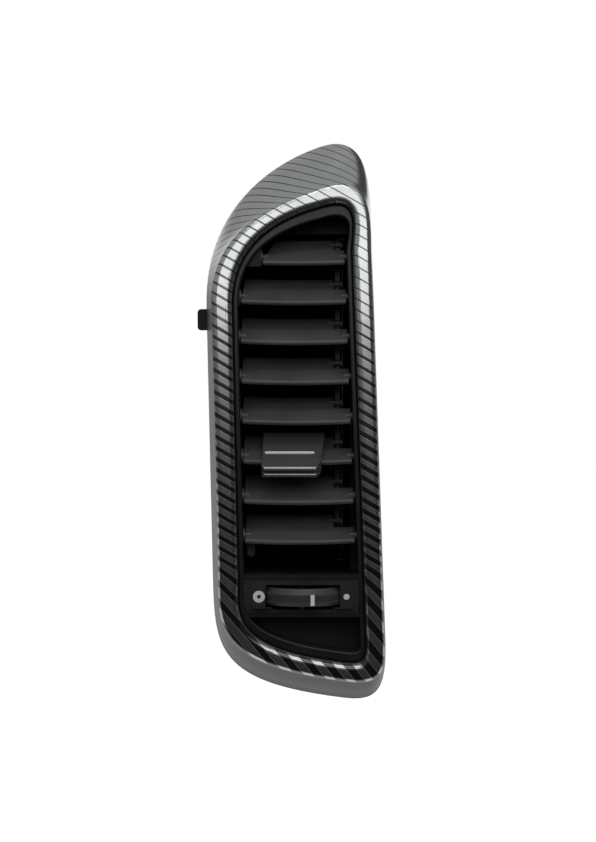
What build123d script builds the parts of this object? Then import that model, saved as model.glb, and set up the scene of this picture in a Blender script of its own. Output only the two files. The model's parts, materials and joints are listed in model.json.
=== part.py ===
from build123d import *
import os
from math import atan2, cos, degrees, radians, sin, sqrt, tan

# Dashboard air vent: a tall D-shaped outlet with a wrapped trim bezel, eight tilting
# vanes with a thumb knob, five rear vanes, a shut-off flap and its thumbwheel.
# Millimetres. X runs to the right, Y back into the dashboard, Z up. The origin is the
# middle of the two fixing holes, on the rear face of the housing's flange.

# Front face: part of a large cylinder lying along X, centred far behind the vent
face_radius = 520.0
face_y = -30.0
face_z = -16.5

# Opening: a D with two leaning sides, a sloping crown and a sloping foot
left_x = -22.8
left_lean = -0.022
left_top = 49.5
left_foot = -62.0
right_x = 22.5
right_lean = -0.036
right_top = 71.0
right_foot = -88.5
crown_x = 10.0
crown_z = 84.6
crown_slope = 0.31
foot_x = 19.4
foot_z = -90.9
foot_slope = -0.12

# Reach of the curves that join the sides to the crown and the foot
shoulder_up = 28.0
shoulder_in = 6.0
corner_out = 16.0
corner_down = 5.0
heel_down = 2.4
heel_in = 4.6
sweep_out = 47.5
sweep_down = 8.0
bend = 0.5523
heel_bend = 0.85
sweep_out_bend = 0.42
sweep_down_bend = 1.02

# Bezel, as growths of the opening outward: left, right, crown, foot
inner_edge = (2.4, 2.4, 4.9, 4.4)
crease = (9.9, 9.6, 10.7, 10.8)
skirt_edge = (13.7, 10.8, 30.6, 22.0)
crease_depth = (-30.0, -30.0, -18.5, -24.0)
bezel_wall = 2.5
return_wall = 2.0
crease_round = 2.4
inner_round = 2.6
skirt_front = face_y - 2
skirt_gap = 0.3
skirt_stations = 5

# Front frame
seat_gap = 0.3
liner_recess = 3.0
lip_round = 0.7
outer_lip_round = 0.9
flange_front = -4.0
flange_joint = -2.0
flange_growth = (9.5, 7.6, 20.0, 12.0)
bar_thickness = 1.6
upper_bar_z = -59.9
lower_bar_z = -75.7
bar_recess = 3.2
shelf_root = 0.5
pocket_recess = 14.0
pocket_wall = 2.0

# Vanes
vane_count = 8
first_vane_z = 69.0
vane_pitch = 16.1
vane_depth = 9.5
vane_ahead = 5.0
vane_behind = 16.0
vane_nose = 1.1
vane_tail = 0.6
vane_bow = 1.2
vane_rest = 28.0
vane_swing = 30.0
vane_end_gap = 0.3
vane_sweep = 0.6
vane_pin = 1.5
pin_root = 2.0
vane_notch_x = 14.8
vane_notch_start = 5.0
running_gap = 0.05
crank_reach = 11.0
crank_pin = 1.0
link_x = 16.4
link_thickness = 2.0
link_half_width = 2.0
link_eye_growth = 0.5
knob_vane = 6
stop_tab_x = -18.8
stop_tab_width = 3.2
stop_tab_drop = 9.5
stop_tab_half = 1.0

# Bushes in the left side of the frame
bush_wall = 1.0
bush_flange = 0.6
bush_flange_growth = 0.7
bush_pad = vane_pin + bush_wall + bush_flange_growth + 0.5

# Knob on its vane, slid sideways by the thumb
core_x = -1.0
knob_slot = 1.25
knob_front = 12.2
knob_rear = 10.0
knob_left = 12.8
knob_left_bulge = 0.4
knob_left_chamfer = (1.2, 1.8)
knob_right = 12.3
knob_right_taper = 1.6
knob_bevel = (2.2, 5.2)
knob_nose_chamfer = (0.5, 0.4)
knob_round = 0.3
knob_halves_gap = 0.1
knob_lower_inset = 0.5
knob_chin = 1.0
knob_groove_depth = 1.5
knob_lip_round = 0.4
knob_groove_top = 0.4
knob_groove_foot = -1.1
knob_lip_top = 1.8
knob_top = 5.4
knob_floor = -3.2
knob_strip_left = -12.0
knob_strip_right = 8.0
knob_strip_u = -3.0
knob_strip_width = 1.3
knob_strip_rise = 0.35
knob_strip_sink = 0.6
pad_half = 4.0
pad_depth = 5.0
pad_sink = 1.0
pad_gap = 0.03
fork_reach = 31.5
fork_start = 22.0
fork_thickness = 1.6
fork_tine = 1.5
fork_gap = 0.25
fork_root = 1.0

# Duct housing
duct_half = 22.8
duct_floor = upper_bar_z + bar_thickness / 2
duct_roof_gap = 1.4
duct_ceiling = first_vane_z + vane_behind * sin(radians(vane_swing)) + vane_tail + duct_roof_gap
duct_wall = 2.0
duct_straight = 23.0
duct_narrow_y = 31.0
duct_narrow_half = 20.0
duct_end = 70.0
rim_growth = 3.0
rim_length = 2.0
gasket_thickness = 4.0
gasket_width = 4.0
ear_z = 99.5
ear_radius = 4.2
ear_reach = 12.0
fixing_hole = 2.0
lug_z = 43.9
lug_height = 8.8
lug_tip = -41.3
lug_thickness = 3.0
lug_root = 3.0
lug_round = 1.5
lid_gap = 0.3

# Rear vanes
rear_count = 5
rear_pitch = 8.0
rear_pivot_y = 14.0
rear_front_y = 5.5
rear_tail_y = 22.0
rear_half = 0.8
rear_end_gap = 0.5
rear_pin = 1.3
rear_pin_length = 1.6
drive_bar = 1.0
drive_window_rear = 12.0
drive_window_half = 17.5
drive_drop = 2.0
rear_crank = 5.0
rear_crank_pin = 0.6
small_pin_root = 1.0
rear_link_z = duct_floor + 6.1
rear_link_height = 2.0
rear_link_half = 1.8
rear_notch = 4.2
rear_notch_y = 16.2

# Thumbwheel and shut-off
wheel_x = 2.3
wheel_y = -10.4
wheel_radius = 19.0
wheel_foot = lower_bar_z + 4.0
wheel_drop = 1.6
wheel_web = 2.0
wheel_gap = 0.4
wheel_hub = 4.0
wheel_rim = 3.0
wheel_foot_chamfer = (0.8, 1.2)
wheel_head_chamfer = (1.4, 2.2)
band_margin = 0.2
bay_gap = 1.2
bay_wall = 1.6
bay_floor_gap = 1.1
bay_head_gap = 0.5
groove_depth = 0.25
groove_count = 3
axle_radius = 2.0
pointer_angle = 12.0
pointer_width = 1.6
pointer_height = 4.4
pointer_root = 0.9
pointer_rise = 2.6
pointer_proud = 0.1
shut_crank = 12.0
shut_pin = 1.5
shut_pin_shoulder = 1.0
shut_pin_recess = 0.2
rod_gap = 0.4
rod_thickness = 1.6
rod_foot = duct_floor - duct_wall - rod_gap - rod_thickness
wheel_top = rod_foot - wheel_drop
rod_half = 3.0
rod_waist = 0.8
flap_y = 45.0
flap_closed = 80.0
closed_pointer = 25.0
flap_half = 19.3
flap_plate = 2.0
flap_seal = 3.2
flap_seal_width = 2.2
flap_seal_grip = 1.2
flap_end_gap = 0.6
flap_seat_height = 2.4
flap_seat_width = 2.0
flap_seat_gap = 0.3
flap_shaft = 2.5
crank_thickness = 2.4
crank_waist = 1.5
crank_eye_wall = 2.0

# Control panel
panel_recess = 3.8
panel_thickness = 1.2
panel_gap = 0.1
window_side_gap = 1.4
window_foot = wheel_foot - 0.7
window_head = wheel_top + 1.3
ledge_reach = 2.2
ledge_top = wheel_foot + 0.4
ledge_height = 1.6
ledge_left = -18.0
ledge_right = 22.6
symbol_height = 0.4
symbol_gap = 0.3
dot_gap = 1.4
ring_radius = 2.4
ring_hole = 0.8
dot_radius = 1.2

# Fasteners and hooks
screw_shank = 1.4
screw_gap = 0.05
screw_pass_gap = 0.2
screw_end_gap = 0.5
screw_head = 2.7
screw_head_height = 1.6
screw_length = 8.0
boss_wall = 1.2
boss_length = 5.0
boss_floor = 3.0
boss_growth = (7.4, 7.0, 10.2, 9.8)
hook_width = 8.0
hook_thickness = 1.4
hook_barb = 0.8
hook_gap = 0.25
hook_inset = 0.4
hook_root = 0.5
hook_reach = 1.3
barb_gap = 0.1
left_hooks = (30.0, -35.0)
right_hooks = (45.0, -45.0)
cover_screw_length = 7.0
cover_screw_inset = 12.0

# Reach past every surface that a cut has to clear, a plane ahead of the whole front,
# and how near a point counts as lying on a surface
clear = 60.0
ahead_y = face_y - 5
touch = 0.02
axis_y = face_y + face_radius
vane_numbers = range(1, vane_count + 1)


def block(x0, x1, y0, y1, z0, z1):
    """Box between two corners."""
    return Pos((x0 + x1) / 2, (y0 + y1) / 2, (z0 + z1) / 2) * Box(x1 - x0, y1 - y0, z1 - z0)


def bar_x(radius, x0, x1, y, z):
    """Round bar along X."""
    return Pos((x0 + x1) / 2, y, z) * Rot(0, 90, 0) * Cylinder(radius, x1 - x0)


def bar_y(radius, y0, y1, x, z):
    """Round bar along Y."""
    return Pos(x, (y0 + y1) / 2, z) * Rot(90, 0, 0) * Cylinder(radius, y1 - y0)


def bar_z(radius, z0, z1, x, y):
    """Round bar along Z."""
    return Pos(x, y, (z0 + z1) / 2) * Cylinder(radius, z1 - z0)


def plate(points, z0, z1):
    """Flat plate with a straight-sided outline seen from above."""
    outline_face = make_face(Polyline(*points, close=True))
    return extrude(Pos(0, 0, z0) * outline_face, z1 - z0)


def grown(growth, extra):
    """The four growths, each with the same amount added."""
    return tuple(value + extra for value in growth)


def outline(y, growth):
    """Closed D-shaped line at depth y, moved outward from the opening by the growths."""
    left, right, crown, foot = growth

    def at(x, z):
        return Vector(x, y, z)

    def along(x, z):
        return Vector(x, 0, z)

    up_left = along(left_lean, 1)
    up_right = along(right_lean, 1)
    over = along(1, crown_slope)
    back = along(-1, -foot_slope)
    p1 = at(left_x + left_lean * left_foot - left, left_foot)
    p2 = at(left_x + left_lean * left_top - left, left_top)
    p3 = at(crown_x, crown_z + crown)
    p4 = at(right_x + right_lean * right_top + right, right_top)
    p5 = at(right_x + right_lean * right_foot + right, right_foot)
    p6 = at(foot_x, foot_z - foot)
    shoulder = Bezier(
        p2, p2 + up_left * (shoulder_up + bend * crown), p3 - over * (shoulder_in + bend * left), p3
    )
    corner = Bezier(
        p3, p3 + over * (corner_out + bend * right), p4 + up_right * (corner_down + bend * crown), p4
    )
    heel = Bezier(
        p5, p5 - up_right * (heel_down + heel_bend * foot),
        p6 - back * (heel_in + heel_bend * right), p6
    )
    sweep = Bezier(
        p6, p6 + back * (sweep_out + sweep_out_bend * left),
        p1 - up_left * (sweep_down + sweep_down_bend * foot), p1
    )
    return [Line(p1, p2), shoulder, corner, Line(p4, p5), heel, sweep]


def d_face(y, growth):
    """Flat D-shaped face at depth y."""
    return Face(Wire(outline(y, growth)))


def d_prism(y0, y1, growth):
    """D-shaped solid between two depths."""
    return extrude(d_face(y0, growth), y1 - y0, dir=(0, 1, 0))


def behind_face(recess):
    """All that lies at least recess behind the curved front face."""
    return Pos(0, axis_y, face_z) * Rot(0, 90, 0) * Cylinder(face_radius - recess, 2 * clear)


def depth_at(z, recess):
    """Depth of a line along X that lies recess behind the front face at height z."""
    return axis_y - sqrt((face_radius - recess) ** 2 - (z - face_z) ** 2)


def left_side(z):
    """X of the opening's left side at height z, on its straight or on its shoulder."""
    if z <= left_top:
        return left_x + left_lean * z
    shoulder = outline(0, (0, 0, 0, 0))[1]
    low = 0.0
    high = 1.0
    for _ in range(30):
        middle = (low + high) / 2
        if (shoulder @ middle).Z < z:
            low = middle
        else:
            high = middle
    return (shoulder @ low).X


def right_side(z):
    """X of the opening's right side at height z."""
    return right_x + right_lean * z


# Bezel

def skirt_growth(y):
    """Growth of the skirt at depth y: the crease at its own depth, then straight to the rear."""
    values = []
    for front, rear, start in zip(crease, skirt_edge, crease_depth):
        share = (y - start) / (-skirt_gap - start)
        values.append(front + (rear - front) * max(share, -0.05))
    return tuple(values)


def skirt(extra, y0, y1):
    """Flared body of the bezel, lofted through a few D-shaped sections."""
    step = (y1 - y0) / (skirt_stations - 1)
    depths = [y0 + step * index for index in range(skirt_stations)]
    return loft([d_face(y, grown(skirt_growth(y), extra)) for y in depths])


def hook_places():
    """Height, side (-1 left, 1 right) and inner X of each snap hook of the bezel."""
    places = []
    for z in left_hooks:
        places.append((z, -1, left_side(z) - inner_edge[0] - hook_inset))
    for z in right_hooks:
        places.append((z, 1, right_side(z) + inner_edge[1] + hook_inset))
    return places


def hook_block(place, near, far, y0, y1, half_width):
    """Block at a hook's place, between two distances outward of its inner face."""
    z, side, x = place
    low, high = sorted((x + side * near, x + side * far))
    return block(low, high, y0, y1, z - half_width, z + half_width)


def hook(place):
    """Snap hook behind the return wall."""
    rear = flange_joint + hook_reach
    half = hook_width / 2
    tongue = hook_block(place, 0, hook_thickness, flange_front - hook_root, rear, half)
    return tongue + hook_block(place, 0, hook_thickness + hook_barb, flange_joint + barb_gap, rear, half)


def hook_slots(y0, y1):
    """Slots that the hooks pass through, between two depths."""
    far = hook_thickness + hook_barb + hook_gap
    half = hook_width / 2 + hook_gap
    return [hook_block(place, -hook_gap, far, y0, y1, half) for place in hook_places()]


def trim_bezel():
    """Wrapped ring with its flared skirt, its return wall and four snap hooks."""
    body = skirt(0, skirt_front, -skirt_gap) & behind_face(0)
    hollow = skirt(-bezel_wall, skirt_front, 1) & behind_face(bezel_wall)
    return_tube = d_prism(ahead_y, flange_front, grown(inner_edge, return_wall))
    body = body - (hollow - return_tube)
    body = body - d_prism(ahead_y, 5, inner_edge)
    for growth, radius in ((crease, crease_round), (inner_edge, inner_round)):
        front = [edge for edge in body.edges() if on_curved_face(edge, 0)]
        body = fillet([edge for edge in front if near_outline(edge, growth)], radius)
    for place in hook_places():
        body += hook(place)
    return body


def on_curved_face(edge, recess):
    """True for an edge that lies all along the curved face at this depth behind the front."""
    points = [edge @ share for share in (0, 0.25, 0.5, 0.75, 1)]
    return all(abs(point.Y - depth_at(point.Z, recess)) < touch for point in points)


def near_outline(edge, growth):
    """True for an edge that follows the D-shaped line with these growths."""
    line = Wire(outline(0, growth))
    points = [edge @ share for share in (0.1, 0.5, 0.9)]
    return all(line.distance_to(Vector(point.X, 0, point.Z)) < 1.0 for point in points)


# Front frame

def flange_boss_places(y):
    """Where the four frame screws sit, two in the crown and two in the foot."""
    lines = outline(y, boss_growth)
    return [lines[1] @ 0.75, lines[2] @ 0.25, lines[4] @ 0.85, lines[5] @ 0.75]


def bush_seat(z):
    """X of the face that a bush's flange rests on, clear of the side's slope."""
    return max(left_side(z - bush_pad), left_side(z + bush_pad))


def pivot_boss(z):
    """Pad that carries a bush level where the shoulder of the D slopes."""
    pad = bush_pad
    y = depth_at(z, vane_depth)
    wall_middle = inner_edge[0] / 2
    boss = block(left_side(z - pad) - wall_middle, bush_seat(z), y - pad, y + pad, z - pad, z + pad)
    return boss & d_prism(ahead_y, flange_joint, [wall_middle] * 4)


def frame_shelves():
    """Upper and lower bar with the shelves that hold the wheel's axle."""
    inside = d_prism(ahead_y, flange_joint, [shelf_root] * 4)
    shelves = []
    for z in (upper_bar_z, lower_bar_z):
        half = bar_thickness / 2
        shelf = block(-clear, clear, ahead_y, flange_joint, z - half, z + half)
        shelves.append(shelf & inside & behind_face(bar_recess))
    return shelves


def blank_pocket():
    """Back wall that closes the opening below the lower bar."""
    inside = d_prism(ahead_y, flange_joint, [shelf_root] * 4)
    below = block(-clear, clear, ahead_y, 5, foot_z - clear, lower_bar_z)
    return inside & below & (behind_face(pocket_recess) - behind_face(pocket_recess + pocket_wall))


def front_frame():
    """D-shaped liner with its flange, its bars, the pivot holes and the screw bosses."""
    wall = d_prism(ahead_y, flange_joint, grown(inner_edge, -seat_gap)) & behind_face(liner_recess)
    flange = d_prism(flange_front, flange_joint, flange_growth)
    body = wall + flange - d_prism(ahead_y, 5, (0, 0, 0, 0))
    for growth, radius in ((grown(inner_edge, -seat_gap), outer_lip_round), ((0, 0, 0, 0), lip_round)):
        rims = [edge for edge in body.edges() if on_curved_face(edge, liner_recess)]
        body = fillet([edge for edge in rims if near_outline(edge, growth)], radius)
    for shelf in frame_shelves():
        body += shelf
    body += blank_pocket()
    for place in flange_boss_places(flange_front):
        body += bar_y(screw_shank + boss_wall, flange_front - boss_length, flange_front, place.X, place.Z)
    for place in flange_boss_places(flange_front):
        body -= bar_y(screw_shank + screw_gap, -screw_length, flange_joint, place.X, place.Z)
    for number in vane_numbers:
        z = vane_z(number)
        y = depth_at(z, vane_depth)
        if bush_seat(z) > left_side(z - bush_pad):
            body += pivot_boss(z)
        body -= bar_x(vane_pin + bush_wall, left_side(z) - 4, core_x, y, z)
        hole = vane_pin + running_gap
        body -= bar_x(hole, core_x, right_side(z) + inner_edge[1] - seat_gap, y, z)
    body -= bar_z(axle_radius, lower_bar_z - bar_thickness, upper_bar_z, wheel_x, wheel_y)
    for slot in hook_slots(flange_front - 1, flange_joint + 1):
        body -= slot
    return body


def vane_z(number):
    """Height of a vane's pivot line."""
    return first_vane_z - vane_pitch * (number - 1)


def on_vane(number):
    """Place on a vane at its rest tilt: X along the pins, Y along the chord, Z across it."""
    z = vane_z(number)
    return Pos(0, depth_at(z, vane_depth), z) * Rot(vane_rest, 0, 0)


def pivot_bushes():
    """Flanged bushes pressed into the left side of the frame, one for each vane."""
    bushes = []
    for number in vane_numbers:
        z = vane_z(number)
        y = depth_at(z, vane_depth)
        seat = bush_seat(z)
        sleeve = bar_x(vane_pin + bush_wall, left_side(z) - inner_edge[0] + 2 * seat_gap, seat, y, z)
        flange = bar_x(vane_pin + bush_wall + bush_flange_growth, seat, seat + bush_flange, y, z)
        bore = bar_x(vane_pin + running_gap, left_side(z) - clear, seat + clear, y, z)
        bushes.append(sleeve + flange - bore)
    return Compound(children=bushes)


# Tilting vanes

def blade_section():
    """Rounded section of a vane: a full nose and a thin tail."""
    nose = Pos(vane_nose - vane_ahead - vane_bow, 0) * Circle(vane_nose)
    tail = Pos(vane_behind - vane_bow - vane_tail, 0) * Circle(vane_tail)
    return make_hull(nose.edges() + tail.edges())


def blade():
    """Level blade, bowed forward in the middle like the edge of a wide ring."""
    span = right_x - left_x
    bow_radius = (span / 2) ** 2 / (2 * vane_bow)
    bow_axis = Axis((0, bow_radius - vane_bow, 0), (0, 0, 1))
    half_angle = degrees(span * vane_sweep / bow_radius)
    section = (Plane.YZ * blade_section()).rotate(bow_axis, -half_angle)
    return revolve(section, bow_axis, 2 * half_angle)


def vane_plan(number):
    """Outline of a vane from above, cut back where it would meet the sides as it tilts."""
    z = vane_z(number)
    room = bush_seat(z) + bush_flange + vane_end_gap
    front_rise = vane_ahead * sin(radians(vane_swing))
    rear_rise = vane_behind * sin(radians(vane_swing))
    front_left = max(room, left_side(z + front_rise) + bush_flange)
    rear_left = max(room, left_side(z + rear_rise) + bush_flange + vane_end_gap)
    right = right_side(z) - bush_flange - vane_end_gap
    far = vane_behind + vane_bow
    return [
        (front_left, -vane_ahead), (front_left, -far), (right, -far), (right, vane_notch_start),
        (vane_notch_x, vane_notch_start), (vane_notch_x, far), (rear_left, far),
    ]


def vane(number):
    """Blade with its two pins, its crank pin and, on the lowest one, its stop tab."""
    points = vane_plan(number)
    left = points[0][0]
    right = points[2][0]
    z = vane_z(number)
    body = blade() & plate(points, -clear, clear)
    body += bar_x(vane_pin, left_side(z) - inner_edge[0] + 2 * seat_gap, left + pin_root, 0, 0)
    body += bar_x(vane_pin, right - pin_root, right_side(z) + inner_edge[1] - 2 * seat_gap, 0, 0)
    link_outer = link_x + link_thickness / 2
    head = link_outer + seat_gap
    body += bar_x(crank_pin, vane_notch_x - pin_root, head, crank_reach, 0)
    body += bar_x(crank_pin + seat_gap, head, head + bush_flange, crank_reach, 0)
    if number == vane_count:
        half = stop_tab_width / 2
        low = half - stop_tab_drop
        body += block(stop_tab_x - half, stop_tab_x + half, -stop_tab_half, stop_tab_half, low, 0)
        body += bar_y(half, -stop_tab_half, stop_tab_half, stop_tab_x, low)
    return on_vane(number) * body


def vane_link():
    """Curved bar that ties the crank pins of all the vanes together."""
    lift_y = crank_reach * cos(radians(vane_rest))
    lift_z = crank_reach * sin(radians(vane_rest))
    mean = face_radius - vane_depth
    x0 = link_x - link_thickness / 2
    x1 = link_x + link_thickness / 2
    ring = bar_x(mean + link_half_width, x0, x1, 0, 0) - bar_x(mean - link_half_width, x0, x1, 0, 0)
    top = vane_z(1) + lift_z
    foot = vane_z(vane_count) + lift_z
    body = Pos(0, axis_y + lift_y, face_z + lift_z) * ring & block(x0, x1, -clear, clear, foot, top)
    holes = []
    for number in vane_numbers:
        z = vane_z(number)
        y = depth_at(z, vane_depth) + lift_y
        body += bar_x(link_half_width + link_eye_growth, x0, x1, y, z + lift_z)
        holes.append(bar_x(crank_pin + running_gap, x0 - 1, x1 + 1, y, z + lift_z))
    return body - holes


# Knob, drawn on its vane's own place

def knob_plan(front, rear):
    """Plan of a knob half: a straight left side and a long bevel at the front right corner."""
    left = core_x - knob_left - knob_left_bulge
    right = core_x + knob_right - knob_right_taper
    return [
        (left + knob_left_chamfer[0], -front), (left, knob_left_chamfer[1] - front),
        (core_x - knob_left, rear), (core_x + knob_right, rear),
        (right, knob_bevel[1] - front), (right - knob_bevel[0], -front),
    ]


def knob_section(points):
    """Side section of a knob half, as a prism along X."""
    section = Plane.YZ * make_face(Polyline(*points, close=True))
    return extrude(section, clear, both=True)


def slot_front():
    """How far ahead of the pivot the slot for the vane reaches inside the knob."""
    return -(vane_ahead + vane_bow + vane_end_gap * 2)


def knob_roof(u):
    """Height of the knob's top surface at chord position u."""
    share = (u + knob_front) / (knob_front + knob_rear)
    return knob_lip_top + share * (knob_top - knob_lip_top)


def knob_upper():
    """Upper half of the knob, a wedge that rises to the rear, with the groove for its line."""
    points = [
        (-knob_front, knob_groove_top), (-knob_front, knob_lip_top - knob_nose_chamfer[1]),
        (knob_nose_chamfer[0] - knob_front, knob_lip_top), (knob_rear, knob_top), (knob_rear, knob_slot),
        (slot_front(), knob_slot), (slot_front(), knob_groove_top),
    ]
    body = knob_section(points) & plate(knob_plan(knob_front, knob_rear), -clear, clear)
    body = fillet(body.edges().filter_by(on_roof), knob_round)
    return on_vane(knob_vane) * (body - knob_line(0))


def on_roof(edge):
    """True for an edge of the knob's sloping top."""
    return all(abs(point.Z - knob_roof(point.Y)) < 0.15 for point in (edge @ 0, edge @ 0.5, edge @ 1))


def knob_line(rise):
    """Long thin bar with round ends, sunk in the knob's top and standing proud by rise."""
    roof = knob_roof(knob_strip_u)
    middle = core_x + (knob_strip_left + knob_strip_right) / 2
    length = knob_strip_right - knob_strip_left
    slope = degrees(atan2(knob_top - knob_lip_top, knob_front + knob_rear))
    bar = extrude(SlotOverall(length, knob_strip_width), rise + knob_strip_sink)
    return Pos(middle, knob_strip_u, roof) * Rot(slope, 0, 0) * Pos(0, 0, -knob_strip_sink) * bar


def knob_lower():
    """Lower half of the knob with the arm and fork that steer the rear vanes."""
    core = knob_groove_top - knob_halves_gap
    rear = knob_rear - knob_lower_inset
    points = [
        (-knob_front, knob_groove_foot), (-knob_front, knob_floor + knob_chin),
        (knob_chin - knob_front, knob_floor),
        (rear, knob_floor), (rear, -knob_slot), (slot_front(), -knob_slot), (slot_front(), core),
        (knob_groove_depth - knob_front, core), (knob_groove_depth - knob_front, knob_groove_foot),
    ]
    body = knob_section(points) & plate(knob_plan(knob_front, rear), -clear, clear)
    body = fillet(body.edges().filter_by(on_front_lip), knob_lip_round)
    half = drive_bar + fork_gap + fork_tine
    top = knob_floor + fork_thickness
    arm = block(core_x - half, core_x + half, rear - fork_root, fork_reach, knob_floor, top)
    gap = drive_bar + fork_gap
    arm -= block(core_x - gap, core_x + gap, fork_start, fork_reach + 1, knob_floor - 1, 0)
    return on_vane(knob_vane) * (body + arm - pad_block(0))


def on_front_lip(edge):
    """True for the long front edges of the knob's lower lip."""
    points = (edge @ 0, edge @ 0.5, edge @ 1)
    flat = all(abs(point.Y + knob_front) < touch for point in points)
    level = abs(points[0].Z - points[2].Z) < touch
    return flat and level


def pad_block(rise):
    """Small felt pad under the vane, standing proud of the lower half by rise."""
    low = -knob_slot - pad_sink
    return block(core_x - pad_half, core_x + pad_half, 0, pad_depth, low, -knob_slot + rise)


def vane_underside(u):
    """Half thickness of the blade at chord position u."""
    nose = vane_nose - vane_ahead - vane_bow
    tail = vane_behind - vane_bow - vane_tail
    return vane_nose + (vane_tail - vane_nose) * (u - nose) / (tail - nose)


def knob_pad():
    """Felt pad that gives the knob its drag on the vane."""
    return on_vane(knob_vane) * pad_block(knob_slot - vane_underside(0) - pad_gap)


# Duct housing

def duct_plan(extra, y0, y1):
    """Outline of the duct from above, grown outward by extra."""
    wide = duct_half + extra
    narrow = duct_narrow_half + extra
    return [
        (core_x - wide, y0), (core_x - wide, duct_straight), (core_x - narrow, duct_narrow_y),
        (core_x - narrow, y1), (core_x + narrow, y1), (core_x + narrow, duct_narrow_y),
        (core_x + wide, duct_straight), (core_x + wide, y0),
    ]


def cover_screw_places():
    """Where the four cover screws sit, outside the duct's walls."""
    front = core_x + duct_half + duct_wall + screw_shank
    rear = core_x + duct_narrow_half + duct_wall + screw_shank
    front_left = core_x - duct_half - duct_wall - screw_shank
    rear_left = core_x - duct_narrow_half - duct_wall - screw_shank
    near = cover_screw_inset
    far = duct_end - cover_screw_inset
    return [(front_left, near), (front, near), (rear_left, far), (rear, far)]


def ear(side):
    """Fixing ear above or below the flange."""
    z = side * ear_z
    inner = z - side * ear_reach
    arm = block(-ear_radius, ear_radius, flange_joint, 0, min(z, inner), max(z, inner))
    return arm + bar_y(ear_radius, flange_joint, 0, 0, z)


def locating_lug():
    """Lug on the left that shows beside the bezel."""
    half = lug_height / 2
    root = left_x - flange_growth[0] + lug_root
    body = block(lug_tip, root, 0, lug_thickness, lug_z - half, lug_z + half)
    tips = [edge for edge in body.edges() if abs((edge @ 0).X - lug_tip) < touch]
    tips = [edge for edge in tips if abs((edge @ 1).X - lug_tip) < touch]
    return fillet([edge for edge in tips if abs((edge @ 0).Y - (edge @ 1).Y) > 1], lug_round)


def wheel_bay():
    """Half round pocket behind the thumbwheel, open on top for the link rod."""
    inner = wheel_radius + bay_gap
    floor = wheel_foot - bay_floor_gap
    shell = bar_z(inner + bay_wall, floor - bay_wall, rod_foot - bay_head_gap, wheel_x, wheel_y)
    shell -= bar_z(inner, floor, clear, wheel_x, wheel_y)
    return shell & block(-clear, clear, 0, clear, -2 * clear, clear)


def rim_block(y0, y1):
    """Rectangle round the rear end of the duct."""
    half = duct_narrow_half + duct_wall + rim_growth
    edge = duct_wall + rim_growth
    return block(core_x - half, core_x + half, y0, y1, duct_floor - edge, duct_ceiling + edge)


def housing():
    """Duct with its flange, fixing ears, lug, wheel pocket, rear rim and screw bosses."""
    body = plate(duct_plan(duct_wall, 0, duct_end), duct_floor - duct_wall, duct_ceiling)
    body += rim_block(duct_end - rim_length, duct_end)
    body += d_prism(flange_joint, 0, flange_growth)
    body += ear(1) + ear(-1) + locating_lug() + wheel_bay()
    for x, y in cover_screw_places():
        low = duct_ceiling - cover_screw_length - boss_floor
        body += bar_z(screw_shank + boss_wall, low, duct_ceiling, x, y)
    body -= plate(duct_plan(0, flange_joint - 1, duct_end + 1), duct_floor, duct_ceiling)
    roof = plate(duct_plan(0, 1, duct_end - rim_length), duct_ceiling - 1, duct_ceiling + duct_wall)
    body -= roof
    for x, y in cover_screw_places():
        body -= bar_z(screw_shank + screw_gap, duct_ceiling - cover_screw_length, duct_ceiling + 1, x, y)
    half = wheel_radius + bay_gap
    low = wheel_foot - bay_floor_gap
    body -= block(wheel_x - half, wheel_x + half, flange_joint - 1, 0, low, duct_floor - duct_wall)
    for x in rear_places():
        body -= bar_z(rear_pin + running_gap, duct_floor - duct_wall, duct_floor, x, rear_pivot_y)
    body -= bar_z(flap_shaft + running_gap, duct_floor - duct_wall, duct_floor, core_x, flap_y)
    for side in (-1, 1):
        body -= bar_y(fixing_hole, flange_joint - 1, 1, 0, side * ear_z)
    for place in flange_boss_places(0):
        body -= bar_y(screw_shank + screw_pass_gap, flange_joint - 1, 1, place.X, place.Z)
    for slot in hook_slots(flange_joint - 1, 0):
        body -= slot
    for seat in flap_seats():
        body += seat
    return body


def housing_top_cover():
    """Lid of the duct with the upper bearings of the rear vanes and the flap."""
    top = duct_ceiling + duct_wall
    body = plate(duct_plan(duct_wall, lid_gap, duct_end - rim_length - lid_gap), duct_ceiling, top)
    for x, y in cover_screw_places():
        body += bar_z(screw_shank + boss_wall, duct_ceiling, top, x, y)
    for x, y in cover_screw_places():
        body -= bar_z(screw_shank + screw_pass_gap, duct_ceiling - 1, top + 1, x, y)
    for x in rear_places():
        body -= bar_z(rear_pin + running_gap, duct_ceiling - 1, top + 1, x, rear_pivot_y)
    body -= bar_z(flap_shaft + running_gap, duct_ceiling - 1, top + 1, core_x, flap_y)
    return body


def foam_gasket():
    """Foam ring on the rear rim that seals against the car's air duct."""
    inner = duct_wall + rim_growth - gasket_width
    half = duct_narrow_half + inner
    hole = block(core_x - half, core_x + half, duct_end - 1, duct_end + gasket_thickness + 1,
                 duct_floor - inner, duct_ceiling + inner)
    return rim_block(duct_end, duct_end + gasket_thickness) - hole


# Fasteners

def frame_screws():
    """Four screws through the housing's flange into the frame's bosses."""
    screws = []
    for place in flange_boss_places(0):
        shank = bar_y(screw_shank, screw_end_gap - screw_length, 0, place.X, place.Z)
        screws.append(shank + bar_y(screw_head, 0, screw_head_height, place.X, place.Z))
    return Compound(children=screws)


def cover_screws():
    """Four screws that hold the duct's lid."""
    screws = []
    top = duct_ceiling + duct_wall
    for x, y in cover_screw_places():
        shank = bar_z(screw_shank, duct_ceiling - cover_screw_length + screw_end_gap, top, x, y)
        screws.append(shank + bar_z(screw_head, top, top + screw_head_height, x, y))
    return Compound(children=screws)


# Rear vanes

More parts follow.
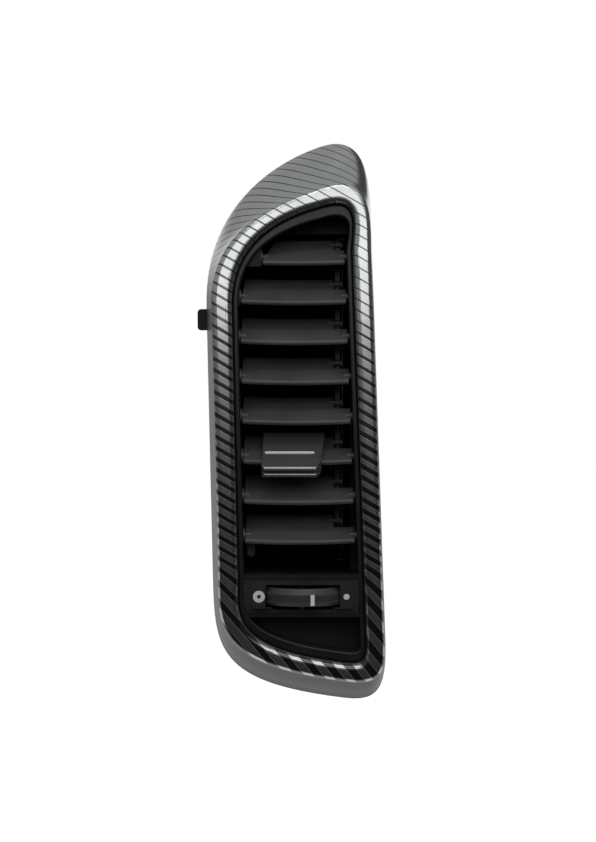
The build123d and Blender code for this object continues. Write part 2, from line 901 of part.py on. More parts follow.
def rear_places():
    """X of each rear vane's pivot."""
    first = core_x - rear_pitch * (rear_count - 1) / 2
    return [first + rear_pitch * index for index in range(rear_count)]


def rear_vane(x, driven):
    """Upright vane; the driven one has a window and the bar that the knob's fork straddles."""
    low = duct_floor + rear_end_gap
    high = duct_ceiling - rear_end_gap
    nose = Pos(x, rear_front_y) * Circle(rear_half)
    tail = Pos(x, rear_tail_y - rear_half / 2) * Circle(rear_half / 2)
    section = make_hull(nose.edges() + tail.edges())
    body = Pos(0, 0, low) * extrude(section, high - low)
    half_notch = rear_notch / 2
    root = small_pin_root
    notch_low = rear_link_z - half_notch
    notch_high = rear_link_z + half_notch
    body -= block(x - 2, x + 2, rear_notch_y, rear_tail_y + 1, notch_low, notch_high)
    body += bar_z(rear_crank_pin, notch_low - root, notch_high + root, x, rear_pivot_y + rear_crank)
    if driven:
        middle = vane_z(knob_vane) - drive_drop
        half = drive_window_half
        body -= block(x - 2, x + 2, 0, drive_window_rear, middle - half, middle + half)
        body += bar_z(drive_bar, middle - half - root, middle + half + root, x, rear_front_y)
    body += bar_z(rear_pin, low - rear_pin_length, low + pin_root, x, rear_pivot_y)
    body += bar_z(rear_pin, high - pin_root, high + rear_pin_length, x, rear_pivot_y)
    return body


def rear_vane_link():
    """Flat bar that ties the rear vanes together near the duct's floor."""
    places = rear_places()
    y = rear_pivot_y + rear_crank
    low = rear_link_z - rear_link_height / 2
    high = rear_link_z + rear_link_height / 2
    body = block(places[0], places[-1], y - rear_link_half, y + rear_link_half, low, high)
    for x in (places[0], places[-1]):
        body += bar_z(rear_link_half, low, high, x, y)
    for x in places:
        body -= bar_z(rear_crank_pin + running_gap, low - 1, high + 1, x, y)
    return body


# Thumbwheel and shut-off

def on_wheel():
    """Place on the wheel's axis with the pointer forward."""
    return Pos(wheel_x, wheel_y, 0) * Rot(0, 0, pointer_angle)


def wheel_profile():
    """Half section of the thumbwheel: hub, web and crowned rim with its bands."""
    rim_inner = wheel_radius - wheel_rim
    web = (wheel_foot + wheel_top) / 2
    return [
        (axle_radius + running_gap, wheel_foot), (wheel_hub, wheel_foot), (wheel_hub, web - wheel_web / 2),
        (rim_inner, web - wheel_web / 2), (rim_inner, wheel_foot),
        (wheel_radius - wheel_foot_chamfer[0], wheel_foot),
        (wheel_radius, wheel_foot + wheel_foot_chamfer[1]),
        (wheel_radius, wheel_top - wheel_head_chamfer[1]),
        (wheel_radius - wheel_head_chamfer[0], wheel_top),
        (rim_inner, wheel_top), (rim_inner, web + wheel_web / 2),
        (wheel_hub, web + wheel_web / 2), (wheel_hub, wheel_top), (axle_radius + running_gap, wheel_top),
    ]


def thumbwheel():
    """Toothless thumbwheel with shallow bands round its rim and a crank pin on its web."""
    section = Plane.XZ * make_face(Polyline(*wheel_profile(), close=True))
    body = revolve(section, Axis.Z)
    low = wheel_foot + wheel_foot_chamfer[1] + band_margin
    high = wheel_top - wheel_head_chamfer[1] - band_margin
    step = (high - low) / (groove_count + 1)
    for index in range(groove_count):
        z = low + step * (index + 1)
        ring = bar_z(wheel_radius + 1, z - groove_depth, z + groove_depth, 0, 0)
        body -= ring - bar_z(wheel_radius - groove_depth, z - 1, z + 1, 0, 0)
    web = (wheel_foot + wheel_top) / 2
    body += bar_z(shut_pin + shut_pin_shoulder, web, rod_foot - rod_gap, shut_crank, 0)
    body += bar_z(shut_pin, web, rod_foot + rod_thickness - shut_pin_recess, shut_crank, 0)
    return on_wheel() * (body - pointer_block(0))


def pointer_block(rise):
    """Upright bar let into the front of the rim, standing proud by rise."""
    half = pointer_width / 2
    middle = wheel_foot + pointer_rise
    return block(-half, half, -wheel_radius - rise, pointer_root - wheel_radius,
                 middle - pointer_height / 2, middle + pointer_height / 2)


def wheel_pointer():
    """White pointer on the rim."""
    return on_wheel() * pointer_block(pointer_proud)


def wheel_axle():
    """Steel pin between the two bars that carries the thumbwheel."""
    return bar_z(axle_radius, lower_bar_z - bar_thickness / 2, upper_bar_z, wheel_x, wheel_y)


def shut_pin_offset():
    """Where the crank pins stand from their axes."""
    angle = radians(pointer_angle)
    return shut_crank * cos(angle), shut_crank * sin(angle)


def wheel_link_rod():
    """Flat rod from the thumbwheel's pin to the flap's crank, side by side with their axes."""
    dx, dy = shut_pin_offset()
    run_x = core_x - wheel_x
    run_y = flap_y - wheel_y
    length = sqrt(run_x ** 2 + run_y ** 2)
    half = rod_half - rod_waist
    body = block(0, length, -half, half, rod_foot, rod_foot + rod_thickness)
    for x in (0, length):
        body += bar_z(rod_half, rod_foot, rod_foot + rod_thickness, x, 0)
    for x in (0, length):
        body -= bar_z(shut_pin + running_gap, rod_foot - 1, rod_foot + rod_thickness + 1, x, 0)
    heading = degrees(atan2(run_y, run_x))
    return Pos(wheel_x + dx, wheel_y + dy, 0) * Rot(0, 0, heading) * body


def on_flap():
    """Place on the flap's axis with the flap's plate along Y."""
    return Pos(core_x, flap_y, 0) * Rot(0, 0, flap_closed - closed_pointer + pointer_angle)


def flap_seats():
    """Ribs on the duct's sides that the closed flap's edges come up against."""
    lean = radians(flap_closed)
    inner = duct_narrow_half - flap_seat_height
    reach = inner / tan(lean) - flap_seal / 2 / sin(lean) - flap_seat_gap
    outer = duct_narrow_half + duct_wall / 2
    left = block(core_x - outer, core_x - inner, flap_y + reach - flap_seat_width, flap_y + reach,
                 duct_floor - duct_wall / 2, duct_ceiling)
    right = block(core_x + inner, core_x + outer, flap_y - reach, flap_y - reach + flap_seat_width,
                  duct_floor - duct_wall / 2, duct_ceiling)
    return [left, right]


def flap_limits(inset):
    """Lowest and highest Z of the flap, drawn in by inset."""
    return duct_floor + flap_end_gap + inset, duct_ceiling - flap_end_gap - inset


def shutoff_flap():
    """Plate that closes the duct, on a shaft that runs out through the floor."""
    low, high = flap_limits(flap_seal_grip)
    half = flap_half - flap_seal_grip
    body = block(-flap_plate / 2, flap_plate / 2, -half, half, low, high)
    foot = rod_foot - rod_gap - crank_thickness
    body += bar_z(flap_shaft, foot, duct_ceiling + duct_wall, 0, 0)
    return on_flap() * body


def flap_edge_seal():
    """Foam channel round the edge of the flap."""
    low, high = flap_limits(0)
    body = block(-flap_seal / 2, flap_seal / 2, -flap_half, flap_half, low, high)
    lap = flap_seal_width + flap_seal_grip
    inner = flap_half - lap
    body -= block(-clear, clear, -inner, inner, low + lap, high - lap)
    plate_low, plate_high = flap_limits(flap_seal_grip)
    half = flap_half - flap_seal_grip
    body -= block(-flap_plate / 2, flap_plate / 2, -half, half, plate_low, plate_high)
    body -= bar_z(flap_shaft, low - 1, high + 1, 0, 0)
    return on_flap() * body


def flap_crank():
    """Crank on the lower end of the flap's shaft, below the link rod."""
    dx, dy = shut_pin_offset()
    high = rod_foot - rod_gap
    low = high - crank_thickness
    half = rod_half - crank_waist
    arm = block(0, shut_crank, -half, half, low, high)
    arm += bar_z(rod_half, low, high, shut_crank, 0)
    arm += bar_z(flap_shaft + crank_eye_wall, low, high, 0, 0)
    arm += bar_z(shut_pin, low, rod_foot + rod_thickness - shut_pin_recess, shut_crank, 0)
    arm -= bar_z(flap_shaft, low - 1, high + 1, 0, 0)
    return Pos(core_x, flap_y, 0) * Rot(0, 0, pointer_angle) * arm


# Control panel

def panel_shell(front, rear):
    """Curved slice of the space between the bars, between two depths behind the face."""
    half = bar_thickness / 2
    inside = d_prism(ahead_y, 0, [-panel_gap] * 4)
    band = block(-clear, clear, ahead_y, 0, lower_bar_z + half + panel_gap, upper_bar_z - half - panel_gap)
    return inside & band & (behind_face(front) - behind_face(rear))


def mark_z():
    """Height of the two marks, level with the middle of the thumbwheel."""
    return (wheel_foot + wheel_top) / 2


def panel_window_half():
    """Half width of the window that the thumbwheel comes through."""
    reach = wheel_y - depth_at(mark_z(), panel_recess)
    return sqrt(wheel_radius ** 2 - reach ** 2) + window_side_gap


def control_panel():
    """Panel round the thumbwheel, with the window and the ledge below it."""
    body = panel_shell(panel_recess, panel_recess + panel_thickness)
    ledge = block(ledge_left, ledge_right, ahead_y, 0, ledge_top - ledge_height, ledge_top)
    ledge = ledge & panel_shell(panel_recess - ledge_reach, panel_recess + panel_thickness / 2)
    body += ledge
    half = panel_window_half()
    body -= block(wheel_x - half, wheel_x + half, ahead_y, 0, window_foot, window_head)
    body -= bar_z(wheel_radius + wheel_gap, window_foot - 1, window_head, wheel_x, wheel_y)
    return body - open_mark() - closed_mark()


def mark_layer():
    """Thin layer at the front of the panel that holds the two marks."""
    return panel_shell(panel_recess - symbol_height / 4, panel_recess + symbol_height)


def open_mark():
    """Ring that marks the open end of the wheel's travel."""
    x = wheel_x - panel_window_half() - symbol_gap - ring_radius
    ring = bar_y(ring_radius, face_y, 0, x, mark_z()) - bar_y(ring_hole, face_y - 1, 1, x, mark_z())
    return ring & mark_layer()


def closed_mark():
    """Dot that marks the closed end of the wheel's travel."""
    x = wheel_x + panel_window_half() + dot_gap + dot_radius
    return bar_y(dot_radius, face_y, 0, x, mark_z()) & mark_layer()


# All pieces

def all_parts():
    """Every piece by name."""
    parts = {
        "trim_bezel": trim_bezel(),
        "front_frame": front_frame(),
        "pivot_bushes": pivot_bushes(),
        "control_panel": control_panel(),
        "open_mark": open_mark(),
        "closed_mark": closed_mark(),
        "housing": housing(),
        "housing_top_cover": housing_top_cover(),
        "foam_gasket": foam_gasket(),
        "frame_screws": frame_screws(),
        "cover_screws": cover_screws(),
        "wheel_axle": wheel_axle(),
        "vane_link": vane_link(),
        "knob_upper": knob_upper(),
        "knob_lower": knob_lower(),
        "knob_line": on_vane(knob_vane) * knob_line(knob_strip_rise),
        "knob_pad": knob_pad(),
        "rear_vane_link": rear_vane_link(),
        "thumbwheel": thumbwheel(),
        "wheel_pointer": wheel_pointer(),
        "wheel_link_rod": wheel_link_rod(),
        "shutoff_flap": shutoff_flap(),
        "flap_edge_seal": flap_edge_seal(),
        "flap_crank": flap_crank(),
    }
    for number in vane_numbers:
        parts[f"vane_{number}"] = vane(number)
    for number, x in enumerate(rear_places(), start=1):
        driven = number == (rear_count + 1) // 2
        parts[f"rear_vane_{number}"] = rear_vane(x, driven)
    return parts


os.makedirs("parts", exist_ok=True)
for name, piece in all_parts().items():
    export_step(piece, f"parts/{name}.step")
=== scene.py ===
"""Looks of the dashboard air vent: materials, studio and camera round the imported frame."""

import json
import math

import bmesh
import bpy
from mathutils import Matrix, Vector

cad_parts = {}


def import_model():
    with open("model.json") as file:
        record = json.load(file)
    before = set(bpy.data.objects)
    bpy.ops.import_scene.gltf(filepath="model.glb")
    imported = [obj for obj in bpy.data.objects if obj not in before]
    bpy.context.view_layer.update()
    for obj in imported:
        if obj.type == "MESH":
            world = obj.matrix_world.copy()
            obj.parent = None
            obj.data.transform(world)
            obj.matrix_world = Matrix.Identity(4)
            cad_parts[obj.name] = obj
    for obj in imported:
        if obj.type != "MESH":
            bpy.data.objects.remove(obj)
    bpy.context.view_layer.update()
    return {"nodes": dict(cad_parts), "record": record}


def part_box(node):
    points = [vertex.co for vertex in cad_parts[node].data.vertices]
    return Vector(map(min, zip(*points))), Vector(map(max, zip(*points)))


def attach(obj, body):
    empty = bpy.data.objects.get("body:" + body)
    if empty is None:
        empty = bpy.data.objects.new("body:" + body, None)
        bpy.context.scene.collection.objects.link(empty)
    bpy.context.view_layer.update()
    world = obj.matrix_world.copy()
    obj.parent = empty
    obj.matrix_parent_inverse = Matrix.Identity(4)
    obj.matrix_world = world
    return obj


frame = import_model()
nodes = frame["nodes"]

# Camera, in metres, degrees and millimetres of sensor, and the picture in pixels
AIM = Vector((0.0004, -0.030, 0.0031))
DISTANCE = 0.90
AZIMUTH = 0.4
ELEVATION = 2.0
FIELD = 0.337
SENSOR = 24.0
PICTURE = (596, 842)

# Floor, in metres
FLOOR_Z = -0.45
FLOOR_SIDE = 4.0
FLOOR_FRONT = -0.12
FLOOR_BACK = 6.0
FLOOR_GREY = 0.9
FLOOR_GLOW = 1.1
GLOW_SHARE = 0.9

# Lamps: place in metres, width and height in metres, power in watts; all point at the origin
LAMPS = {
    "softbox": ((0.25, -1.25, 0.6), (1.4, 0.5), 4.2),
    "strip": ((0.1, -0.75, 1.1), (1.2, 0.25), 3.2),
}

# Studio by the direction of a ray: levels, and where each fades in along x, y or z
SKY_LEVEL = 0.85
SKY_LOW = 0.08
SKY_FADE = (-0.3, 0.6)
FRONT_DARK = 0.02
FRONT_LIGHT = 0.42
FRONT_FADE = (-0.15, 0.35)
RIGHT_SHARE = 0.2
RIGHT_FADE = (0.35, 0.7)
CEILING = 0.5
CEILING_FADE = (0.5, 0.8)
BACK_FADE = (0.7, 1.0)
PANEL = 0.05
PANEL_X = (0.3, 0.45)
PANEL_Y = (0.3, 0.5)
PANEL_Z = (0.08, 0.2)

# Bezel's bowed face and where the film changes, in metres
FACE_RADIUS = 0.52
FACE_MIDDLE = 0.0165
FACE_FRONT = -0.030
HOOD_FADE = (0.05, 0.08)
SIDE_FADE = (0.0006, 0.0024)
ACROSS_FADE = (-0.02, 0.02)

# Film pattern: pitches, lengths and heights in metres, slope in radians, and shares; the dark share
# of a stripe fades from one height to the other, growing towards the bottom: painted shade on the real
# stripes
STRIPE_PITCH = 0.0038
STRIPE_SLOPE = math.radians(30)
STRIPE_EDGE = 0.04
DARK_LEFT = (0.09, 0.0, 0.08, 0.23)
DARK_RIGHT = (0.07, -0.02, 0.06, 0.27)
HOOD_STRETCH = 0.6
BEND_START = -0.055
BEND_LENGTH = 0.012
THREAD_PITCH = 0.0011
THREAD_LEAN = 0.4
THREAD_DARK = 0.94
CLOUD_SCALE = 90.0
CLOUD_FADE = (0.3, 0.7, 0.92, 1.04)
FILM_EMBOSS = 0.00006

# Film finish: levels, and pairs for its front and its side
FILM_LIGHT = 0.40
FILM_DARK = 0.005
FILM_TINT = (0.97, 1.0, 1.01)
FILM_METAL = 0.95
FILM_ROUGH = (0.25, 0.5)
FILM_COAT = (0.7, 0.1)
SIDE_SHOW = 0.15

# Moulded plastics: level, roughness, grain in metres, speckle, gloss
MOULDED = {
    "frame_black": (0.010, 0.4, 0.000006, 0.15, 0.3),
    "vane_black": (0.055, 0.42, 0.000012, 0.15, 0.3),
    "link_black": (0.014, 0.5, 0.000015, 0.15, 0.3),
    "wheel_black": (0.040, 0.4, 0.000008, 0.15, 0.3),
    "panel_black": (0.020, 0.4, 0.000006, 0.15, 0.3),
    # painted highlight on a real strip: the silver is a plain light grey with no metal, so the knob's
    # strip shows bright under any light
    "silver": (0.52, 0.3, 0.000004, 0.05, 0.8),
    "white_mark": (0.55, 0.45, 0.000004, 0.04, 0.3),
    "nylon": (0.05, 0.42, 0.00001, 0.06, 0.3),
    "housing_black": (0.010, 0.6, 0.00003, 0.15, 0.3),
    # painted shade: near-black copy of the vane plastic, for the shade deep in the duct
    "painted_shade_black": (0.003, 0.7, 0.00003, 0.15, 0.1),
}
BROAD_SCALE = 55.0
FINE_SCALE = 2600.0
SPECK_FADE = (0.25, 0.75)
ROUGH_FADE = (0.2, 0.8)
ROUGH_SPREAD = 0.05
GRAIN_STRENGTH = 0.6

# Steel, foam and felt: levels, the steel's roughnesses, texture scales, and depths in metres
STEEL_LEVELS = (0.4675, 0.605)
STEEL_ROUGH = (0.27, 0.43)
STEEL_SCALE = 900.0
STEEL_STRETCH = (0.05, 1, 1)
STEEL_GRAIN = 0.00001
FOAM_LEVELS = (0.012, 0.05)
FOAM_SCALE = 1500.0
FOAM_DEPTH = 0.0002
FELT_LEVELS = (0.02, 0.07)
FELT_SCALE = 3000.0
FELT_STRETCH = (1, 0.3, 1)
FELT_DEPTH = 0.0001

# Nodes whose finish isn't their slot's; the rear vanes and rear link take a near-black copy of the vane
# plastic, painted shade for the dark depth of the duct
SPECIAL = {
    "rear_vane": "painted_shade_black", "rear_vane_link": "painted_shade_black", "vane_link": "link_black",
    "thumbwheel": "wheel_black", "control_panel": "panel_black",
}

# Knob: plastic's two levels and roughnesses, and its grain and the painted highlight lines along its lips
# in metres
KNOB_LEVELS = (0.044, 0.056)
KNOB_ROUGH = (0.12, 0.2)
KNOB_GRAIN = 0.000002
LIP_HIGHLIGHT_LINES = (-0.01565, -0.0183)
LINE_CORE = 0.0002
LINE_HALF = 0.0007
LINE_BACK = -0.0275
LINE_FADE = 0.001
HIGHLIGHT_LINE_LEVEL = 0.4
HIGHLIGHT_LINE_METAL = 0.9

# Shutoff flap's foam lips: angle in degrees, sizes in metres, height and width share of each row
FLAP_ANGLE = 67
LIP_HALF_LENGTH = 0.0192
LIP_HALF_WIDTH = 0.0014
LIP_HEIGHT = 0.00056
LIP_ROWS = ((0.0, 1.0), (0.7, 0.8), (1.0, 0.35))


class Graph:
    """Node graph of one material, with short calls that add and join its nodes."""

    def __init__(self, name, sky=None):
        self.material = sky or bpy.data.materials.new(name)
        self.material.use_nodes = True
        self.tree = self.material.node_tree
        self.tree.nodes.clear()
        self.output = self.add("ShaderNodeOutputWorld" if sky else "ShaderNodeOutputMaterial")
        self.position = self.add("ShaderNodeTexCoord").outputs["Object"]

    def add(self, kind, **settings):
        node = self.tree.nodes.new(kind)
        for key, value in settings.items():
            setattr(node, key, value)
        return node

    def put(self, socket, value):
        if isinstance(value, bpy.types.NodeSocket):
            self.tree.links.new(value, socket)
        elif value is not None:
            socket.default_value = value

    def math(self, operation, a, b=None):
        node = self.add("ShaderNodeMath", operation=operation)
        for socket, value in zip(node.inputs, (a, b)):
            self.put(socket, value)
        return node.outputs[0]

    def ramp(self, value, low, high, out_low=0.0, out_high=1.0):
        node = self.add("ShaderNodeMapRange", interpolation_type="SMOOTHSTEP")
        for socket, number in zip(node.inputs, (value, low, high, out_low, out_high)):
            self.put(socket, number)
        return node.outputs[0]

    def mix(self, share, a, b):
        node = self.add("ShaderNodeMix", data_type="RGBA")
        self.put(node.inputs["Factor"], share)
        self.put(node.inputs["A"], a)
        self.put(node.inputs["B"], b)
        return node.outputs["Result"]

    def blend(self, share, a, b):
        node = self.add("ShaderNodeMix", data_type="FLOAT")
        self.put(node.inputs["Factor"], share)
        self.put(node.inputs["A"], a)
        self.put(node.inputs["B"], b)
        return node.outputs["Result"]

    def noise(self, scale, detail=2.0, stretch=(1, 1, 1)):
        mapping = self.add("ShaderNodeMapping")
        self.put(mapping.inputs["Vector"], self.position)
        mapping.inputs["Scale"].default_value = stretch
        node = self.add("ShaderNodeTexNoise")
        self.put(node.inputs["Vector"], mapping.outputs[0])
        self.put(node.inputs["Scale"], scale)
        self.put(node.inputs["Detail"], detail)
        return node.outputs["Fac"]

    def split(self):
        node = self.add("ShaderNodeSeparateXYZ")
        self.put(node.inputs[0], self.position)
        return node.outputs

    def bump(self, height, distance, strength=1.0):
        node = self.add("ShaderNodeBump")
        self.put(node.inputs["Height"], height)
        self.put(node.inputs["Distance"], distance)
        self.put(node.inputs["Strength"], strength)
        return node.outputs[0]

    def finish(self, **sockets):
        shader = self.add("ShaderNodeBsdfPrincipled")
        for name, value in sockets.items():
            self.put(shader.inputs[name.replace("_", " ")], value)
        self.put(self.output.inputs["Surface"], shader.outputs[0])
        return self.material


def grey(level):
    """Neutral grey as a colour."""
    return (level, level, level, 1.0)


def greys(levels):
    """Neutral greys as colours."""
    return [grey(level) for level in levels]


def carbon_film():
    """Glossy film: bright woven stripes between dark ones, laid over the bezel from the front."""
    g = Graph("carbon_film")
    x, y, z = g.split()
    curve = g.math("MULTIPLY", g.math("POWER", g.math("ADD", z, FACE_MIDDLE), 2.0), 0.5 / FACE_RADIUS)
    behind = g.math("SUBTRACT", g.math("SUBTRACT", y, FACE_FRONT), curve)
    hood = g.ramp(z, *HOOD_FADE)
    wrapped = g.math("ADD", z, g.math("MULTIPLY", behind, g.math("MULTIPLY", hood, HOOD_STRETCH)))
    below = g.math("MAXIMUM", g.math("SUBTRACT", BEND_START, z), 0.0)
    bent = g.math("DIVIDE", g.math("MULTIPLY", below, below), g.math("ADD", below, BEND_LENGTH))
    upright = g.math("ADD", g.math("DIVIDE", wrapped, math.tan(STRIPE_SLOPE)), bent)
    phase = g.math("MULTIPLY", g.math("ADD", upright, x), math.sin(STRIPE_SLOPE) / STRIPE_PITCH)
    wave = g.math("PINGPONG", phase, 0.5)
    # painted shade: the stripes' dark share grows towards the bottom, a little differently on the left and
    # right
    dark_half = g.blend(g.ramp(x, *ACROSS_FADE), g.ramp(z, *DARK_LEFT), g.ramp(z, *DARK_RIGHT))
    stripe = g.ramp(g.math("SUBTRACT", wave, dark_half), -STRIPE_EDGE, STRIPE_EDGE)
    slant = g.math("SUBTRACT", x, g.math("MULTIPLY", z, THREAD_LEAN))
    threads = g.math("PINGPONG", g.math("DIVIDE", slant, THREAD_PITCH), 0.5)
    weave = g.ramp(threads, 0.0, 0.5, THREAD_DARK, 1.0)
    cloud = g.ramp(g.noise(CLOUD_SCALE, 3.0), *CLOUD_FADE)
    light = g.math("MULTIPLY", g.math("MULTIPLY", FILM_LIGHT, weave), cloud)
    light_colour = g.add("ShaderNodeCombineColor")
    for socket, factor in zip(light_colour.inputs, FILM_TINT):
        g.put(socket, g.math("MULTIPLY", light, factor))
    side = g.math("MULTIPLY", g.ramp(behind, *SIDE_FADE), g.math("SUBTRACT", 1.0, hood))
    shown = g.blend(side, stripe, SIDE_SHOW)
    return g.finish(
        Base_Color=g.mix(shown, grey(FILM_DARK), light_colour.outputs[0]),
        Metallic=g.blend(shown, 0.0, FILM_METAL), Roughness=g.blend(side, *FILM_ROUGH),
        Specular_IOR_Level=0.15, Coat_Weight=g.blend(side, *FILM_COAT), Coat_Roughness=0.07,
        Coat_IOR=1.8, Normal=g.bump(shown, FILM_EMBOSS, 0.4),
    )


def moulded(name, level, roughness, grain, speck, gloss):
    """Moulded plastic with a fine grain and slightly uneven sheen."""
    g = Graph(name)
    broad = g.noise(BROAD_SCALE, 3.0)
    colour = g.mix(g.ramp(broad, *SPECK_FADE), grey(level * (1 - speck)), grey(level * (1 + speck)))
    rough = g.ramp(broad, *ROUGH_FADE, roughness - ROUGH_SPREAD, roughness + ROUGH_SPREAD)
    return g.finish(
        Base_Color=colour, Roughness=rough, Specular_IOR_Level=gloss,
        Normal=g.bump(g.noise(FINE_SCALE), grain, GRAIN_STRENGTH),
    )


def knob_plastic():
    """Smooth dark plastic with a bright metallic line along each finger lip, a painted highlight for the
    lips' rounded edges.
    """
    g = Graph("knob_black")
    y, z = g.split()[1:]
    # painted highlight: bright metallic bands along the two lips, where their rounded edges catch the
    # light
    away = [g.math("ABSOLUTE", g.math("SUBTRACT", z, level)) for level in LIP_HIGHLIGHT_LINES]
    lines = [g.ramp(distance, LINE_CORE, LINE_HALF, 1.0, 0.0) for distance in away]
    ahead = g.ramp(y, LINE_BACK + LINE_FADE, LINE_BACK)
    shown = g.math("MULTIPLY", g.math("MAXIMUM", *lines), ahead)
    broad = g.noise(BROAD_SCALE, 3.0)
    plastic = g.mix(broad, *greys(KNOB_LEVELS))
    return g.finish(
        Base_Color=g.mix(shown, plastic, grey(HIGHLIGHT_LINE_LEVEL)), Metallic=g.blend(shown, 0.0, HIGHLIGHT_LINE_METAL),
        Roughness=g.ramp(broad, *ROUGH_FADE, *KNOB_ROUGH), Specular_IOR_Level=0.8,
        Normal=g.bump(g.noise(FINE_SCALE), KNOB_GRAIN, GRAIN_STRENGTH),
    )


def plated_steel():
    """Plated steel with fine lines along X."""
    g = Graph("steel")
    lines = g.noise(STEEL_SCALE, 3.0, STEEL_STRETCH)
    rough = g.ramp(lines, *ROUGH_FADE, *STEEL_ROUGH)
    return g.finish(
        Base_Color=g.mix(lines, *greys(STEEL_LEVELS)), Metallic=1.0, Roughness=rough,
        Normal=g.bump(lines, STEEL_GRAIN, 0.4),
    )


def open_foam():
    """Dark foam with small open cells."""
    g = Graph("foam")
    cells = g.add("ShaderNodeTexVoronoi")
    g.put(cells.inputs["Vector"], g.position)
    g.put(cells.inputs["Scale"], FOAM_SCALE)
    depth = cells.outputs["Distance"]
    colour = g.mix(depth, *greys(FOAM_LEVELS))
    return g.finish(Base_Color=colour, Roughness=0.95, Normal=g.bump(depth, FOAM_DEPTH, 0.8))


def felt():
    """Short dark fibres."""
    g = Graph("felt")
    fibres = g.noise(FELT_SCALE, 4.0, FELT_STRETCH)
    return g.finish(
        Base_Color=g.mix(fibres, *greys(FELT_LEVELS)), Roughness=0.95, Sheen_Weight=0.3,
        Normal=g.bump(fibres, FELT_DEPTH, 0.7),
    )


def all_finishes():
    """Every finish of the part by name."""
    made = {name: moulded(name, *values) for name, values in MOULDED.items()}
    made["carbon_film"] = carbon_film()
    made["knob_black"] = knob_plastic()
    made["foam"] = open_foam()
    made["felt"] = felt()
    made["steel"] = plated_steel()
    return made


def dress(finishes):
    """Give each piece of the frame its finish and its slot."""
    for part in frame["record"]["subparts"]:
        piece = nodes[part["node"]]
        slot = part["material_slot"]
        finish = SPECIAL.get(part["node"].rstrip("_0123456789"), slot)
        piece.data.materials.clear()
        piece.data.materials.append(finishes[finish])


def seal_lips(finish):
    """Thin foam lips that close the slits between the flap's seal and the duct's floor and roof."""
    low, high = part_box("flap_edge_seal")
    middle = (Vector(low) + Vector(high)) / 2
    turn = math.radians(FLAP_ANGLE)
    along = Vector((-math.sin(turn), math.cos(turn), 0)) * LIP_HALF_LENGTH
    across = Vector((math.cos(turn), math.sin(turn), 0)) * LIP_HALF_WIDTH
    for name, base, tip in (("seal_lip_foot", low[2], -LIP_HEIGHT), ("seal_lip_top", high[2], LIP_HEIGHT)):
        mesh = bmesh.new()
        rows = []
        for step, shrink in LIP_ROWS:
            z = base + tip * step
            corners = [(-1, -1), (1, -1), (1, 1), (-1, 1)]
            spots = [along * a + across * b * shrink for a, b in corners]
            rows.append([mesh.verts.new((middle.x + s.x, middle.y + s.y, z)) for s in spots])
        for lower, upper in zip(rows, rows[1:]):
            for index in range(4):
                after = (index + 1) % 4
                mesh.faces.new((lower[index], lower[after], upper[after], upper[index]))
        mesh.faces.new(rows[0][::-1])
        mesh.faces.new(rows[-1])
        bmesh.ops.recalc_face_normals(mesh, faces=mesh.faces)
        data = bpy.data.meshes.new(name)
        mesh.to_mesh(data)
        mesh.free()
        data.materials.append(finish)
        piece = bpy.data.objects.new(name, data)
        bpy.context.scene.collection.objects.link(piece)
        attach(piece, "flap_body")


def floor():
    """Wide pale floor below the vent, white to the camera but for the vent's shadow."""
    mesh = bpy.data.meshes.new("floor")
    corners = [
        (-FLOOR_SIDE, FLOOR_FRONT, FLOOR_Z), (FLOOR_SIDE, FLOOR_FRONT, FLOOR_Z),
        (FLOOR_SIDE, FLOOR_BACK, FLOOR_Z), (-FLOOR_SIDE, FLOOR_BACK, FLOOR_Z),
    ]
    mesh.from_pydata(corners, [], [(0, 1, 2, 3)])
    piece = bpy.data.objects.new("floor", mesh)
    bpy.context.scene.collection.objects.link(piece)
    g = Graph("pale_floor")
    diffuse = g.add("ShaderNodeBsdfDiffuse")
    diffuse.inputs["Color"].default_value = grey(FLOOR_GREY)
    rays = g.add("ShaderNodeLightPath").outputs
    seen = g.math("MAXIMUM", rays["Is Camera Ray"], rays["Is Glossy Ray"])
    seen = g.math("MAXIMUM", seen, rays["Is Transmission Ray"])
    white = g.add("ShaderNodeEmission")
    white.inputs["Strength"].default_value = FLOOR_GLOW
    mixer = g.add("ShaderNodeMixShader")
    g.put(mixer.inputs[0], g.math("MULTIPLY", seen, GLOW_SHARE))
    g.put(mixer.inputs[1], diffuse.outputs[0])
    g.put(mixer.inputs[2], white.outputs[0])
    g.put(g.output.inputs["Surface"], mixer.outputs[0])
    mesh.materials.append(g.material)


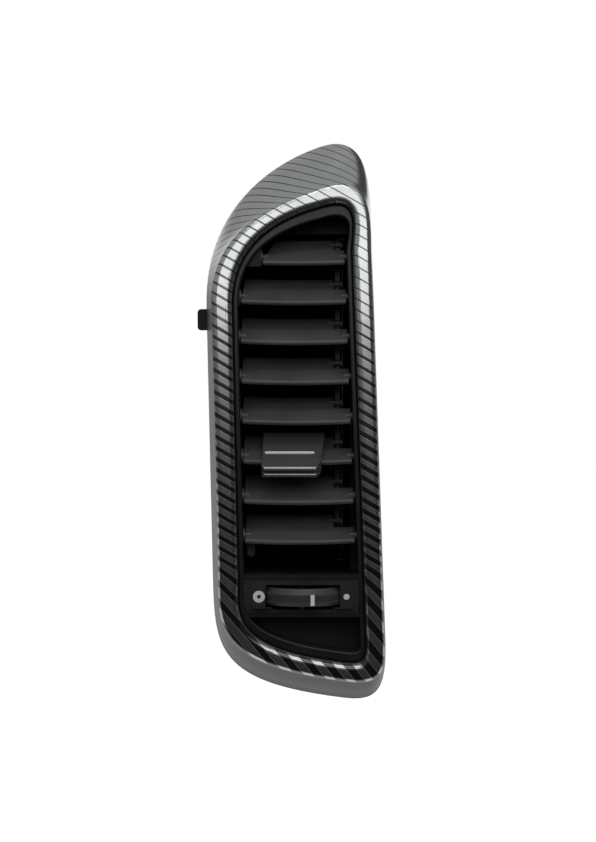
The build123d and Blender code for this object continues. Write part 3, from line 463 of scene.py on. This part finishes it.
def world():
    """Studio: white to the camera, dimmer ahead of the vent in reflections, soft from above as a light."""
    sky = bpy.data.worlds.new("studio")
    bpy.context.scene.world = sky
    sky.use_nodes = True
    g = Graph("studio", sky)
    direction = g.add("ShaderNodeTexCoord").outputs["Generated"]
    parts = g.add("ShaderNodeSeparateXYZ")
    g.put(parts.inputs[0], direction)
    x, y, z = parts.outputs
    rays = g.add("ShaderNodeLightPath").outputs
    in_front = g.ramp(z, *FRONT_FADE, FRONT_DARK, FRONT_LIGHT)
    in_front = g.math("MULTIPLY", in_front, g.ramp(x, *RIGHT_FADE, 1.0, RIGHT_SHARE))
    near = g.blend(g.ramp(z, *CEILING_FADE), in_front, CEILING)
    white = g.blend(g.ramp(y, *BACK_FADE), near, 1.0)
    panel = g.math("MULTIPLY", g.ramp(x, *PANEL_X), g.ramp(z, *PANEL_Z))
    panel = g.math("MULTIPLY", panel, g.ramp(y, *PANEL_Y))
    reflected = g.blend(panel, white, PANEL)
    soft = g.ramp(z, *SKY_FADE, SKY_LOW, SKY_LEVEL)
    level = g.blend(rays["Is Glossy Ray"], soft, reflected)
    seen = g.math("MAXIMUM", rays["Is Camera Ray"], rays["Is Transmission Ray"])
    shade = g.add("ShaderNodeBackground")
    shade.inputs["Color"].default_value = (1, 1, 1, 1)
    g.put(shade.inputs["Strength"], g.blend(seen, level, 1.0))
    g.put(g.output.inputs["Surface"], shade.outputs[0])


def lamp(name, place, size, power):
    """Rectangular soft lamp that points at the origin."""
    data = bpy.data.lights.new(name, "AREA")
    data.shape = "RECTANGLE"
    data.size, data.size_y = size
    data.energy = power
    piece = bpy.data.objects.new(name, data)
    piece.location = place
    piece.rotation_mode = "QUATERNION"
    piece.rotation_quaternion = (-Vector(place)).to_track_quat("-Z", "Y")
    bpy.context.scene.collection.objects.link(piece)


def camera():
    """Camera at the photograph's angle."""
    data = bpy.data.cameras.new("camera")
    a = math.radians(AZIMUTH)
    e = math.radians(ELEVATION)
    back = Vector((math.sin(a) * math.cos(e), -math.cos(a) * math.cos(e), math.sin(e)))
    data.sensor_fit = "VERTICAL"
    data.sensor_height = SENSOR
    data.sensor_width = SENSOR * PICTURE[0] / PICTURE[1]
    data.lens = SENSOR * DISTANCE / FIELD
    piece = bpy.data.objects.new("camera", data)
    piece.location = AIM + back * DISTANCE
    piece.rotation_mode = "QUATERNION"
    piece.rotation_quaternion = (-back).to_track_quat("-Z", "Y")
    bpy.context.scene.collection.objects.link(piece)
    bpy.context.scene.camera = piece


finishes = all_finishes()
dress(finishes)
seal_lips(finishes["foam"])
camera()
bpy.context.scene.view_settings.view_transform = "Standard"
world()
floor()
for name, values in LAMPS.items():
    lamp(name, *values)
